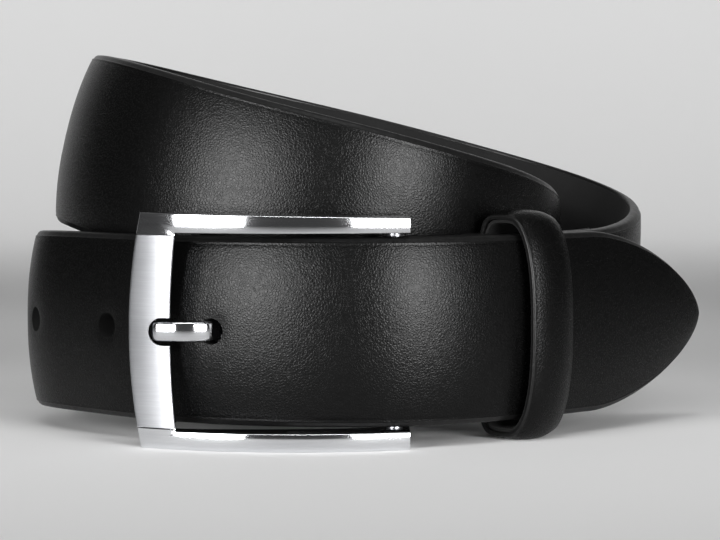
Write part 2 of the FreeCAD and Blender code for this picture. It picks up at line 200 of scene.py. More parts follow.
def newMaterial(name):
    # an empty material with a shader, and the place on the piece that patterns start from
    material = bpy.data.materials.new(name)
    material.use_nodes = True
    tree = material.node_tree
    tree.nodes.clear()
    output = tree.nodes.new("ShaderNodeOutputMaterial")
    shader = tree.nodes.new("ShaderNodeBsdfPrincipled")
    tree.links.new(shader.outputs["BSDF"], output.inputs["Surface"])
    coordinates = tree.nodes.new("ShaderNodeTexCoord")
    return material, tree, shader, coordinates.outputs["Object"]


def addNode(tree, kind, settings=None, **links):
    # one shader node: plain values are set, sockets are linked, stops are (place, hex colour) pairs
    node = tree.nodes.new("ShaderNode" + kind)
    for key, value in (settings or {}).items():
        if key != "stops":
            setattr(node, key, value)
            continue
        elements = node.color_ramp.elements
        for i, (place, colour) in enumerate(value):
            element = elements[i] if i < 2 else elements.new(place)
            element.position = place
            element.color = linear(colour)
    for key, value in links.items():
        socket = node.inputs[int(key[1:])] if key[0] == "_" else node.inputs[key.replace("_", " ")]
        if isinstance(value, bpy.types.NodeSocket):
            tree.links.new(value, socket)
        else:
            socket.default_value = value
    return node


def setShader(shader, values):
    for key, value in values.items():
        shader.inputs[key].default_value = value


grainMix = {
    "pebbleEdge": 0.32, "fine": 0.1923, "fineShare": 0.22, "wave": 11.11, "waveShare": 1.1,
    "polishLow": 0.2, "polishHigh": 1.6, "gloss": 0.11,
}


def leatherMaterial(name, look):
    # pebbled grain in cells, long fine wrinkles between them and a soft wax polish over both
    material, tree, shader, place = newMaterial(name)
    wander = addNode(tree, "TexNoise", None, Vector=place, Scale=perMetre(look["wrinkle"]), Detail=3.0,
                     Roughness=0.6)
    shift = addNode(tree, "VectorMath", {"operation": "SCALE"}, _0=wander.outputs["Color"],
                    _3=look["wander"] * mm)
    moved = addNode(tree, "VectorMath", {"operation": "ADD"}, _0=place, _1=shift.outputs["Vector"])
    cells = addNode(tree, "TexVoronoi", {"feature": "DISTANCE_TO_EDGE"}, Vector=moved.outputs["Vector"],
                    Scale=perMetre(look["pebble"]))
    rounded = addNode(tree, "MapRange", {"interpolation_type": "SMOOTHERSTEP"},
                      Value=cells.outputs["Distance"], _1=0.0, _2=grainMix["pebbleEdge"], _3=0.0, _4=1.0)
    wrinkles = addNode(tree, "TexNoise", None, Vector=moved.outputs["Vector"],
                       Scale=perMetre(look["wrinkle"] / 3), Detail=4.0, Roughness=0.55)
    waves = addNode(tree, "TexNoise", None, Vector=place, Scale=perMetre(grainMix["wave"]), Detail=2.0)
    fine = addNode(tree, "TexNoise", None, Vector=place, Scale=perMetre(grainMix["fine"]), Detail=2.0)
    grain = addNode(tree, "Math", {"operation": "MULTIPLY_ADD"}, _0=wrinkles.outputs["Fac"],
                    _1=look["wrinkleShare"], _2=rounded.outputs["Result"])
    grainAll = addNode(tree, "Math", {"operation": "MULTIPLY_ADD"}, _0=fine.outputs["Fac"],
                       _1=grainMix["fineShare"], _2=grain.outputs["Value"])
    surface = addNode(tree, "Math", {"operation": "MULTIPLY_ADD"}, _0=waves.outputs["Fac"],
                      _1=grainMix["waveShare"], _2=grainAll.outputs["Value"])
    bump = addNode(tree, "Bump", None, Strength=look["bump"], Distance=look["depth"] * mm,
                   Height=surface.outputs["Value"])
    colour = addNode(tree, "ValToRGB", {"stops": look["colours"]}, Fac=grainAll.outputs["Value"])
    polish = addNode(tree, "MapRange", None, Value=grain.outputs["Value"], _1=grainMix["polishLow"],
                     _2=grainMix["polishHigh"], _3=look["roughValley"], _4=look["roughPeak"])
    tree.links.new(colour.outputs["Color"], shader.inputs["Base Color"])
    tree.links.new(polish.outputs["Result"], shader.inputs["Roughness"])
    tree.links.new(bump.outputs["Normal"], shader.inputs["Normal"])
    tree.links.new(bump.outputs["Normal"], shader.inputs["Coat Normal"])
    setShader(shader, {"IOR": 1.5, "Specular IOR Level": grainMix["gloss"], "Coat Weight": look["coat"],
                       "Coat Roughness": look["coatRoughness"]})
    return material


def brushedMaterial(name, look):
    # bare metal with a directional finish: streaks stretched along one axis, and faint clouding
    material, tree, shader, place = newMaterial(name)
    stretched = addNode(tree, "Mapping", None, Vector=place, Scale=perMetre(look["streak"]))
    streaks = addNode(tree, "TexNoise", None, Vector=stretched.outputs["Vector"], Scale=1.0, Detail=4.0,
                      Roughness=0.7)
    clouds = addNode(tree, "TexNoise", None, Vector=place, Scale=perMetre(look["cloud"]), Detail=3.0)
    colour = addNode(tree, "ValToRGB", {"stops": look["colours"]}, Fac=streaks.outputs["Fac"])
    both = addNode(tree, "Math", {"operation": "MULTIPLY_ADD"}, _0=streaks.outputs["Fac"],
                   _1=look["streakShare"], _2=clouds.outputs["Fac"])
    rough = addNode(tree, "MapRange", None, Value=both.outputs["Value"], _1=0.3, _2=1.3,
                    _3=look["roughLow"], _4=look["roughHigh"])
    bump = addNode(tree, "Bump", None, Strength=look["bump"], Distance=look["depth"] * mm,
                   Height=streaks.outputs["Fac"])
    tree.links.new(colour.outputs["Color"], shader.inputs["Base Color"])
    tree.links.new(rough.outputs["Result"], shader.inputs["Roughness"])
    tree.links.new(bump.outputs["Normal"], shader.inputs["Normal"])
    setShader(shader, {"Metallic": 1.0})
    return material


def fibreMaterial(name, look):
    # matt fibrous stuff: a mottled colour over short tangled fibres
    material, tree, shader, place = newMaterial(name)
    stretched = addNode(tree, "Mapping", None, Vector=place, Scale=perMetre(look["fibre"]))
    fibres = addNode(tree, "TexNoise", None, Vector=stretched.outputs["Vector"], Scale=1.0, Detail=5.0,
                     Roughness=0.75)
    mottle = addNode(tree, "TexNoise", None, Vector=place, Scale=perMetre(look["mottle"]), Detail=3.0)
    both = addNode(tree, "Math", {"operation": "MULTIPLY_ADD"}, _0=fibres.outputs["Fac"], _1=0.6,
                   _2=mottle.outputs["Fac"])
    colour = addNode(tree, "ValToRGB", {"stops": look["colours"]}, Fac=both.outputs["Value"])
    bump = addNode(tree, "Bump", None, Strength=look["bump"], Distance=look["depth"] * mm,
                   Height=fibres.outputs["Fac"])
    tree.links.new(colour.outputs["Color"], shader.inputs["Base Color"])
    tree.links.new(bump.outputs["Normal"], shader.inputs["Normal"])
    setShader(shader, {"Roughness": look["rough"], "Specular IOR Level": 0.2,
                       "Sheen Weight": look["sheen"]})
    return material


print("belt: materials")

# Pattern sizes and bump depths below are in mm.
# Deep neutral black calf: pebbles of about half a millimetre that break the highlights up finely.
calfLook = {
    "pebble": 0.5263, "wrinkle": 2.381, "wander": 1.2, "wrinkleShare": 0.5, "bump": 0.2,
    "depth": 0.12, "coat": 0.05, "coatRoughness": 0.3, "roughValley": 0.34, "roughPeak": 0.23,
    "colours": [(0.0, "#010101"), (0.7, "#040404"), (1.0, "#070707")],
}
blackCalf = leatherMaterial("blackGrainedCalf", calfLook)
# The keeper is cut from the same hide.
keeperCalf = leatherMaterial("blackKeeperCalf", calfLook)
# Painted edges: thick smooth black edge paint with a gentle gloss and a few soft waves.
edgePaint = leatherMaterial("blackEdgePaint", {
    "pebble": 2.0, "wrinkle": 6.25, "wander": 2.0, "wrinkleShare": 1.2, "bump": 0.12,
    "depth": 0.1, "coat": 0.15, "coatRoughness": 0.25, "roughValley": 0.42, "roughPeak": 0.36,
    "colours": [(0.0, "#080808"), (0.7, "#0c0c0c"), (1.0, "#101010")],
})
# Lining: matt charcoal split leather with a short nap.
liningSplit = fibreMaterial("charcoalLiningSplit", {
    "fibre": (0.6667, 0.6667, 1.111), "mottle": 16.67, "bump": 0.35, "depth": 0.12,
    "rough": 0.8, "sheen": 0.03, "colours": [(0.4, "#070707"), (0.8, "#0c0c0c"), (1.0, "#121212")],
})
# Cut walls of the punched holes: raw compressed fibres, dyed through.
punchedFibre = fibreMaterial("punchedLeatherFibre", {
    "fibre": (0.3125, 0.3125, 0.7143), "mottle": 3.846, "bump": 0.5, "depth": 0.1,
    "rough": 0.85, "sheen": 0.0, "colours": [(0.4, "#050505"), (0.8, "#0a0a0a"), (1.0, "#121111")],
})
# Inner board: grey pressed fibre with long flakes.
pressedBoard = fibreMaterial("pressedFibreBoard", {
    "fibre": (1.429, 1.429, 0.3846), "mottle": 5.556, "bump": 0.4, "depth": 0.1,
    "rough": 0.9, "sheen": 0.0, "colours": [(0.4, "#3a3733"), (0.8, "#55504a"), (1.0, "#6b655d")],
})
# Filler: dense dark felt that gives the crown its swell.
crownFelt = fibreMaterial("denseCrownFelt", {
    "fibre": (0.4167, 0.4167, 0.4167), "mottle": 3.333, "bump": 0.6, "depth": 0.2,
    "rough": 0.95, "sheen": 0.2, "colours": [(0.4, "#202022"), (0.8, "#303033"), (1.0, "#404044")],
})
# Waxed polyester thread: twisted strands with a soft shine.
waxedThread = fibreMaterial("waxedBlackThread", {
    "fibre": (0.3846, 0.3846, 0.1538), "mottle": 1.111, "bump": 0.6, "depth": 0.1,
    "rough": 0.5, "sheen": 0.1, "colours": [(0.4, "#0c0c0d"), (0.8, "#191919"), (1.0, "#242424")],
})
# Polished nickel plate: a bright mirror with only the faintest hairlines.
polishedNickel = brushedMaterial("polishedNickelPlate", {
    "streak": (16.67, 16.67, 0.7143), "cloud": 22.22, "streakShare": 0.4, "roughLow": 0.055,
    "roughHigh": 0.12, "bump": 0.015, "depth": 0.02,
    "colours": [(0.3, "#cfd0d3"), (0.7, "#dcdddf")],
})
# Satin nickel face: fine straight brush lines that spread the light up and down.
satinNickel = brushedMaterial("satinBrushedNickel", {
    "streak": (11.11, 11.11, 0.1111), "cloud": 18.18, "streakShare": 1.0, "roughLow": 0.28,
    "roughHigh": 0.4, "bump": 0.12, "depth": 0.05,
    "colours": [(0.25, "#97989b"), (0.75, "#acadb0")],
})
# Drawn steel of the pivot pin: turned rings and a dull shine.
drawnSteel = brushedMaterial("drawnPinSteel", {
    "streak": (3.333, 3.333, 0.2632), "cloud": 4.545, "streakShare": 0.8, "roughLow": 0.28,
    "roughHigh": 0.45, "bump": 0.15, "depth": 0.04,
    "colours": [(0.3, "#8f9094"), (0.7, "#adaeb2")],
})

cadMaterials = {
    "strap_crown_filler": crownFelt, "strap_backing_board": pressedBoard, "pivot_pin": drawnSteel,
    "strap_top_leather": blackCalf, "strap_lining": liningSplit, "fold_stitching": waxedThread,
    "buckle_frame": polishedNickel, "bar_facing": satinNickel, "prong": polishedNickel,
    "keeper_band": keeperCalf, "keeper_lining": liningSplit,
}
for nodeName, finish in cadMaterials.items():
    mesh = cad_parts[nodeName].data
    mesh.materials.clear()
    mesh.materials.append(finish)


def finishPiece(piece, materials, body, slotName, *replaced):
    # the last step for a new piece: materials, body and the CAD pieces it stands for
    for material in materials:
        piece.data.materials.append(material)
    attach(piece, body)
    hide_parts(*replaced)
    return piece


print("belt: strap")

taperStart = knots[-1] - strap["tipTaper"]
holePlaces = strap["firstHole"] - strap["holePitch"] * np.arange(strap["holeCount"])


def tipNarrowing(distance):
    # the share of the full width left at a distance: (1 - share ^ power) ^ shape, a bullet
    share = np.clip((distance - taperStart) / strap["tipTaper"], 0, 1)
    return np.maximum(1 - share ** strap["tipPower"], 0) ** strap["tipShape"]


def crownShare(distance):
    # how much of the crown's full rise a distance has: none at the buckle and at the tip's point
    return smoothStep((distance - strap["start"]) / strap["crownRun"]) * tipNarrowing(distance)


def alongPlaces(first):
    # distances along the strap: close together at the holes and towards the tip's end
    wideStep, fineStep, margin = 1.3, 0.55, 7
    body = np.arange(first, holePlaces[-1] - margin, wideStep)
    holes = np.arange(holePlaces[-1] - margin, holePlaces[0] + margin, fineStep)
    straight = np.arange(holePlaces[0] + margin, taperStart, wideStep)
    tip = knots[-1] - strap["tipTaper"] * np.linspace(1, 0, 46) ** 1.9
    return np.concatenate([body, holes, straight, tip[:-1], [knots[-1] - 0.02]])


fold = {
    "end": 58.0, "keeperPlace": 28.0, "pinX": 6.4, "pinY": 9.1, "pinRadius": 1.5, "thick": 1.4,
    "legGap": 0.3, "keeperRoom": 3.1, "roomHalf": 13.5, "roomBlend": 6.5, "pinGap": 0.1,
}
stitching = {
    "rows": (-16.5, 19.0), "count": 7, "pitch": 4.2, "gap": 1.0, "radius": 0.4, "sink": 0.28,
    "stand": 0.38,
}
edges = {
    "lipRound": 0.5, "lipDrop": 0.92, "lipStart": 6.0, "creasePlace": 16.05, "creaseWide": 0.13,
    "creaseDeep": 0.05, "dimpleDeep": 0.15, "dimpleWide": 0.8,
}


def legDepth(distance):
    # how deep the fold's leg lies behind the lining's face: deeper where the keeper passes between
    reach = np.abs(distance - fold["keeperPlace"])
    room = smoothStep((fold["roomHalf"] - reach) / fold["roomBlend"])
    return -fold["legGap"] - fold["keeperRoom"] * room


def foldFrames():
    # the skived leather's way from its free end along the lining, round the pin and up to the strap
    leg = np.arange(fold["end"], 9, -0.9)
    point, _, side, normal = strapFrame(leg)
    places = [point + normal * (legDepth(leg) - strap["middle"])[:, None]]
    sides, normals = [side], [-normal]
    _, forward, across, outward = strapFrame(np.array([0.0]))
    turn = np.radians(np.linspace(265, 90, 26))[:, None]
    ring = forward * np.cos(turn) + outward * np.sin(turn)
    pin = np.array([fold["pinX"] + layout["x"], fold["pinY"] + layout["y"],
                    layout["z"] + strap["halfWidth"]])
    places.append(pin + ring * (fold["pinRadius"] + fold["pinGap"]))
    sides.append(np.repeat(across, len(ring), axis=0))
    normals.append(ring)
    near = np.arange(4.0, 7.6, 0.9)
    point, _, side, normal = strapFrame(near)
    places.append(point + normal * (strap["leatherBack"] - strap["middle"]))
    sides.append(side)
    normals.append(normal)
    return np.concatenate(places), np.concatenate(sides), np.concatenate(normals)


# places across the crown from its middle, closest together beside the crease
crownHalf = np.array([0.0, 0.9, 1.8, 2.6, 3.3, 4.2, 5.4, 7.0, 8.8, 10.4, 12.0, 13.4, 14.5, 15.3, 15.75,
                      15.95, 16.1, 16.25, 16.45])
crownPlaces = np.concatenate([-crownHalf[:0:-1], crownHalf])


def leatherSection(narrow, crown, lip, holeNear):
    # closed section: crown across the top, round painted edges, lips down beside the lining.
    # Height over the crown is rise * (1 - |share| ^ power), less a fine crease beside each edge.
    half, top = strap["halfWidth"], crownPlaces
    share = top / half
    rise = strap["crownRise"] * crown[:, None] * (1 - np.abs(share) ** strap["crownPower"])
    crease = edges["creaseDeep"] * np.exp(-((np.abs(top) - edges["creasePlace"]) / edges["creaseWide"]) ** 2)
    topX = top * narrow[:, None]
    topY = fold["thick"] + rise - crease - edges["dimpleDeep"] * holeNear
    roundTurn = np.radians(np.array([75, 50, 25, 0]))
    roundX = half - strap["edgeRound"] * (1 - np.cos(roundTurn))
    roundY = fold["thick"] - strap["edgeRound"] * (1 - np.sin(roundTurn))
    lipTurn = np.radians(np.array([0, 30, 60, 90]))
    lipX = half - edges["lipRound"] * (1 - np.cos(lipTurn))
    lipY = edges["lipRound"] * (1 - np.sin(lipTurn))
    edgeX = np.concatenate([roundX, lipX, [half - 0.62, half - 0.66]])
    edgeLow = np.concatenate([np.zeros(4), np.ones(5), [0.1]])
    edgeY = np.concatenate([roundY, lipY, [0.0, 0.0]])
    rightY = edgeY - edges["lipDrop"] * edgeLow * lip[:, None]
    rightX = edgeX * narrow[:, None]
    underX = np.linspace(0.9, -0.9, 9) * half * narrow[:, None]
    underY = np.zeros_like(underX)
    x = np.concatenate([topX, rightX, underX, -rightX[:, ::-1]], axis=1)
    y = np.concatenate([topY, rightY, underY, rightY[:, ::-1]], axis=1)
    return np.stack([x, y], axis=-1)


punch = {"reach": 9.0, "tight": 0.05, "slotBack": 0.7, "slotHalf": 4.5, "slotHalfHigh": 2.7}


def punchTools():
    # closed cylinders through the strap at the holes
    point, forward, across, outward = strapFrame(holePlaces)
    turn = np.linspace(0, 2 * np.pi, 40, endpoint=False)[None, :, None]
    radius = strap["holeRadius"] - punch["tight"]
    ring = radius * (forward[:, None] * np.cos(turn) + across[:, None] * np.sin(turn))
    tools = []
    for i in range(len(holePlaces)):
        depth = np.array([-punch["reach"], punch["reach"]])[:, None, None] * outward[i]
        tools.append(gridMesh("punch", point[i] + ring[i] + depth, closeAcross=True, caps=True))
    return tools


def slotTool():
    # the box that frees the prong at the pin
    centre = np.array([fold["pinX"] - punch["slotBack"] + layout["x"], fold["pinY"] + layout["y"],
                       layout["z"] + strap["halfWidth"]])
    corners = np.array([(1, 1), (-1, 1), (-1, -1), (1, -1)]) * punch["slotHalf"]
    levels = (-punch["slotHalfHigh"], punch["slotHalfHigh"])
    box = np.stack([np.concatenate([corners, np.full((4, 1), level)], axis=1) for level in levels])
    return gridMesh("prongSlot", centre + box, closeAcross=True, caps=True)


def cutHoles(piece, tools, slots):
    # punches a piece with the tools; the cut walls take its last material slot
    for tool in tools:
        for _ in range(slots):
            tool.data.materials.append(punchedFibre)
        tool.data.polygons.foreach_set("material_index", np.full(len(tool.data.polygons), slots - 1))
        tidyShell(tool)
    return cutAway(piece, tools)


def toNearestHole(distance):
    # the least of the distances to the holes
    return np.abs(distance[:, None] - holePlaces[None, :]).min(axis=1)


def buildTopLeather():
    # the leather's section carried round the fold and along the strap; its edges take the edge paint
    foldPlace, foldSide, foldNormal = foldFrames()
    distance = alongPlaces(strap["start"])
    point, _, side, normal = strapFrame(distance)
    place = np.concatenate([foldPlace, point + normal * (strap["leatherBack"] - strap["middle"])])
    side = np.concatenate([foldSide, side])
    normal = np.concatenate([foldNormal, normal])
    blank = np.zeros(len(foldPlace))
    narrow = np.concatenate([blank + 1, tipNarrowing(distance)])
    crown = np.concatenate([blank, crownShare(distance)])
    lipShare = smoothStep((distance - strap["start"]) / edges["lipStart"])
    lip = np.concatenate([blank, lipShare * np.minimum(1, tipNarrowing(distance) * 3)])
    top = crownPlaces
    # the punch pulls the crown down a little round each hole
    reach = np.hypot(toNearestHole(distance)[:, None], top[None, :])
    dimple = np.exp(-np.maximum(reach - strap["holeRadius"], 0) / edges["dimpleWide"])
    dimple = np.concatenate([np.zeros((len(foldPlace), len(top))), dimple])
    section = leatherSection(narrow, crown, lip, dimple)
    piece = sectionTube("topLeather", (place, side, normal), section)
    columns = section.shape[1]
    topCount = len(top)
    painted = list(range(topCount - 1, topCount + 9)) + list(range(columns - 10, columns))
    paintColumns(piece, columns, {1: painted})
    for material in (blackCalf, edgePaint, punchedFibre):
        piece.data.materials.append(material)
    tidyShell(piece, smoothDegrees=55)
    cutHoles(piece, punchTools() + [slotTool()], 3)
    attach(piece, "strap")
    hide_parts("strap_top_leather")
    return piece


liningLayer = {"inset": 0.72, "thick": 0.96, "edge": 0.1, "tipGap": 1.0}


def buildLining():
    # flat layer behind the leather: a thin rounded rectangle inset between the leather's lips
    distance = alongPlaces(strap["start"])
    distance = distance[distance < knots[-1] - liningLayer["tipGap"]]
    point, _, side, normal = strapFrame(distance)
    half = (strap["halfWidth"] - liningLayer["inset"]) * tipNarrowing(distance)
    face = np.array([-1, -0.6, -0.2, 0.2, 0.6, 1, 1.006, 1.006])
    low, high = liningLayer["edge"], liningLayer["thick"] - liningLayer["edge"]
    depth = np.array([0] * 6 + [low, high] + [liningLayer["thick"]] * 6 + [high, low])
    across = np.concatenate([face, -face]) * half[:, None]
    section = np.stack([across, np.broadcast_to(depth, across.shape)], axis=-1)
    frames = (point - normal * strap["middle"], side, normal)
    piece = sectionTube("strapLining", frames, section)
    for material in (liningSplit, punchedFibre):
        piece.data.materials.append(material)
    tidyShell(piece)
    cutHoles(piece, punchTools(), 2)
    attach(piece, "strap")
    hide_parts("strap_lining")
    return piece


def buildStitches():
    # each stitch is a bowed thread: round, full in the middle and sinking at both ends;
    # girth = radius * sqrt(1 - step ^ 6), and the ends rise by sink * step ^ 4
    thread = stitching
    grids = []
    for offset in thread["rows"]:
        place = fold["keeperPlace"] + offset
        point, forward, side, normal = [v[0] for v in strapFrame(np.array([place]))]
        depth = legDepth(np.array([place]))[0] - fold["thick"] - strap["middle"] - thread["stand"]
        face = point + normal * depth
        for i in range(thread["count"]):
            start = face + side * (thread["pitch"] * (i - thread["count"] / 2) + thread["gap"] / 2)
            step = np.linspace(-1, 1, 15)[:, None, None]
            turn = np.linspace(0, 2 * np.pi, 12, endpoint=False)[None, :, None]
            girth = thread["radius"] * np.sqrt(np.clip(1 - step ** 6, 0.0004, 1))
            length = (thread["pitch"] - thread["gap"]) / 2
            spine = start + side * (length * (1 + step)) + normal * (thread["sink"] * step ** 4)
            grids.append(spine + girth * (forward * np.cos(turn) + normal * np.sin(turn)))
    pieces = [gridMesh("stitch", grid, closeAcross=True, caps=True) for grid in grids]
    return joined("foldStitches", pieces)


def joined(name, pieces):
    # one object from several
    bpy.ops.object.select_all(action="DESELECT")
    for piece in pieces:
        piece.select_set(True)
    bpy.context.view_layer.objects.active = pieces[0]
    bpy.ops.object.join()
    pieces[0].name = name
    return tidyShell(pieces[0])


buildTopLeather()
buildLining()
finishPiece(buildStitches(), [waxedThread], "strap", "black_thread", "fold_stitching")


print("belt: buckle")

buckle = {
    "left": -40.5, "right": 9.2, "bottom": -4.0, "top": 39.5, "topEnd": 38.7, "windowBottom": -0.6,
    "windowTop": 35.8, "barWidth": 6.6, "barBow": 2.3, "windowBow": 1.0, "facingThick": 1.2,
    "notchHeight": 5.2, "notchDepth": 4.1, "notchLevel": 17.6, "edge": 0.32, "backEdge": 0.3,
    "frameDome": 0.1, "facingDome": 0.12, "facingInset": 0.5, "bedInset": 0.22, "fitGap": 0.02,
    "frontPlan": [(9.2, 1.8), (-17, -2.2), (-44, 8.2)],
    "rearPlan": [(9.2, 11.8), (-16, 6.2), (-44, 10.6)],
}


def circleThrough(a, b, c):
    # centre and radius of the circle through three points
    matrix = 2 * np.array([np.subtract(b, a), np.subtract(c, a)])
    right = np.array([np.dot(b, b) - np.dot(a, a), np.dot(c, c) - np.dot(a, a)])
    centre = np.linalg.solve(matrix, right)
    return centre, np.linalg.norm(np.subtract(a, centre))


frontArc = circleThrough(*buckle["frontPlan"])
rearArc = circleThrough(*buckle["rearPlan"])


def arcDepth(arc, x):
    # y of the near half of a plan circle at x
    centre, radius = arc
    return centre[1] - np.sqrt(radius ** 2 - (x - centre[0]) ** 2)


def toFrame(x, y, z):
    # layout coordinates plus the place of the layout's zero
    return np.stack([x + layout["x"], y + layout["y"], z + layout["z"]], axis=-1)


def barMesh(name, outer, inner, dome):
    # section: domed front, round corners, straight sides and a flat back, all as (q, depth) pairs
    edge, backEdge = buckle["edge"], buckle["backEdge"]
    width = np.linalg.norm(inner - outer, axis=1)[:, None]
    # front corner on the outer side, front, front corner on the inner side, then the back
    turn = np.radians(np.linspace(0, 90, 6))
    leftQ, leftD = edge * (1 - np.cos(turn)), edge * (1 - np.sin(turn))
    middleQ = np.linspace(0, 1, 14)[1:-1]
    q = np.concatenate([leftQ / width, edge / width + middleQ * (1 - 2 * edge / width),
                        1 - leftQ[::-1] / width], axis=1)
    fromFront = np.concatenate([leftD, np.zeros(len(middleQ)), leftD[::-1]]) - dome * (1 - (2 * q - 1) ** 2)
    backShare = backEdge / width
    backQ = np.concatenate([np.ones_like(width), 1 - backShare, backShare, np.zeros_like(width)], axis=1)
    fromBack = np.array([backEdge, 0.0, 0.0, backEdge])
    places = outer[:, None] + (inner - outer)[:, None] * q[..., None]
    backs = outer[:, None] + (inner - outer)[:, None] * backQ[..., None]
    frontY = arcDepth(frontArc, places[..., 0]) + dome + fromFront
    backY = arcDepth(rearArc, backs[..., 0]) - fromBack
    x = np.concatenate([places[..., 0], backs[..., 0]], axis=1)
    y = np.concatenate([frontY, backY], axis=1)
    z = np.concatenate([places[..., 1], backs[..., 1]], axis=1)
    return gridMesh(name, toFrame(x, y, z), closeAcross=True, caps=True)


def between(a, b, count):
    # evenly spaced points: a (1 - t) + b t
    step = np.linspace(0, 1, count)[:, None]
    return np.asarray(a) * (1 - step) + np.asarray(b) * step


def bowed(a, b, count, bow):
    # points from a to b, bowed to the left by bow * 4 t (1 - t)
    step = np.linspace(0, 1, count)
    line = between(a, b, count)
    line[:, 0] -= bow * 4 * step * (1 - step)
    return line


def buildFrame():
    # a closed ring of the bar's section between the outer and inner outlines, less notch and bed
    b = buckle
    outer = np.concatenate([
        between((b["right"], b["topEnd"]), (b["left"], b["top"]), 90)[:-1],
        bowed((b["left"], b["top"]), (b["left"], b["bottom"]), 70, b["barBow"])[:-1],
        between((b["left"], b["bottom"]), (b["right"], b["bottom"]), 90)])
    barRight = b["left"] + b["barWidth"]
    inner = np.concatenate([
        between((b["right"], b["windowTop"]), (barRight, b["windowTop"]), 90)[:-1],
        bowed((barRight, b["windowTop"]), (barRight, b["windowBottom"]), 70, b["windowBow"])[:-1],
        between((barRight, b["windowBottom"]), (b["right"], b["windowBottom"]), 90)])
    piece = barMesh("buckleFrame", outer, inner, b["frameDome"])
    tidyShell(piece, smoothDegrees=35)
    return cutAway(piece, [notchTool(), facingTool()])


def notchTool():
    # the prong's seat: a slot with a round end, open towards the window
    b = buckle
    radius = b["notchHeight"] / 2
    turn = np.radians(np.linspace(90, 270, 17))
    centreX = b["left"] + b["barWidth"] - b["notchDepth"] - 1.0 + radius
    x = np.concatenate([centreX + radius * np.cos(turn), [b["left"] + b["barWidth"] + 3] * 2])
    z = np.concatenate([b["notchLevel"] + radius * np.sin(turn),
                        [b["notchLevel"] - radius, b["notchLevel"] + radius]])
    rows = [toFrame(x, np.full_like(x, y), z) for y in (-16.0, 24.0)]
    return tidyShell(gridMesh("notch", np.stack(rows), closeAcross=True, caps=True))


def facingTool():
    # the shallow bed that the satin facing lies in, across the whole bar
    b = buckle
    x = np.linspace(b["left"] - 5, b["left"] + b["barWidth"] + 1.5, 24)
    bed = arcDepth(frontArc, x) + b["facingThick"]
    low, high = b["windowBottom"] + b["bedInset"], b["windowTop"] - b["bedInset"]
    grid = np.stack([toFrame(x, np.full_like(x, -14.0), np.full_like(x, low)),
                     toFrame(x, np.full_like(x, -14.0), np.full_like(x, high)),
                     toFrame(x, bed, np.full_like(x, high)),
                     toFrame(x, bed, np.full_like(x, low))])
    return tidyShell(gridMesh("facingBed", np.swapaxes(grid, 0, 1), closeAcross=True, caps=True))


def buildFacing():
    # the satin plate: same outlines as the bar, domed, with its own rounded corners
    b = buckle
    low, high = b["windowBottom"] + b["facingInset"], b["windowTop"] - b["facingInset"]
    levels = np.linspace(high, low, 90)
    share = (b["top"] - levels) / (b["top"] - b["bottom"])
    outer = np.stack([b["left"] - b["barBow"] * 4 * share * (1 - share), levels], axis=1)
    innerShare = (b["windowTop"] - levels) / (b["windowTop"] - b["windowBottom"])
    innerX = b["left"] + b["barWidth"] - b["windowBow"] * 4 * innerShare * (1 - innerShare) - b["fitGap"]
    inner = np.stack([innerX, levels], axis=1)
    piece = barMesh("barFacing", outer, inner, b["facingDome"])
    tidyShell(piece, smoothDegrees=35)
    return cutAway(piece, [facingBackTool(), notchTool()])


def facingBackTool():
    # everything behind the facing's bed
    b = buckle
    x = np.linspace(b["left"] - 5, b["left"] + b["barWidth"] + 1.5, 24)
    bed = arcDepth(frontArc, x) + b["facingThick"] - b["fitGap"]
    low, high = b["windowBottom"] - 2, b["windowTop"] + 2
    grid = np.stack([toFrame(x, bed, np.full_like(x, low)), toFrame(x, bed, np.full_like(x, high)),
                     toFrame(x, np.full_like(x, 24.0), np.full_like(x, high)),
                     toFrame(x, np.full_like(x, 24.0), np.full_like(x, low))])
    return tidyShell(gridMesh("behindFacing", np.swapaxes(grid, 0, 1), closeAcross=True, caps=True))


finishPiece(buildFrame(), [polishedNickel], "buckle", "polished_metal", "buckle_frame")
finishPiece(buildFacing(), [satinNickel], "buckle", "satin_metal", "bar_facing")


print("belt: prong")

prong = {
    "route": [(-17, 12.3), (-24.7, 12.3), (-28.2, 5.3), (-32.4, 3.9), (-38.4, 5.55)],
    "radii": [20, 1.6, 2.2, 8], "width": 3.7, "thick": 2.0, "eyeRadius": 2.35, "eyeThick": 1.5,
    "eyeRun": 10.0, "eyeBlend": 3.0, "tipRun": 1.6,
}


def bentPath(points, radii, pitch):
    # straight runs joined by tangent arcs, sampled about a pitch apart
    points = [np.array(p, dtype=float) for p in points]
    path, start = [], points[0]
    for i in range(1, len(points) - 1):
        before, after = unit(points[i - 1] - points[i]), unit(points[i + 1] - points[i])
        half = np.arccos(np.clip(before @ after, -1, 1)) / 2
        bisector = unit(before + after)
        radius = radii[i - 1]
        centre = points[i] + bisector * (radius / np.sin(half))
        first, last = points[i] + before * radius / np.tan(half), points[i] + after * radius / np.tan(half)
        run = np.linalg.norm(first - start)
        path.append(between(start, first, max(2, int(run / pitch)))[:-1])
        spokes = first - centre, last - centre
        sweep = np.arctan2(spokes[0][0] * spokes[1][1] - spokes[0][1] * spokes[1][0], spokes[0] @ spokes[1])
        turn = np.linspace(0, sweep, max(3, int(abs(sweep) * radius / pitch) + 2))
        cosTurn, sinTurn = np.cos(turn), np.sin(turn)
        path.append(np.stack([centre[0] + spokes[0][0] * cosTurn - spokes[0][1] * sinTurn,
                              centre[1] + spokes[0][0] * sinTurn + spokes[0][1] * cosTurn], axis=1)[:-1])
        start = last
    path.append(between(start, points[-1], max(2, int(np.linalg.norm(points[-1] - start) / pitch))))
    return np.concatenate(path)


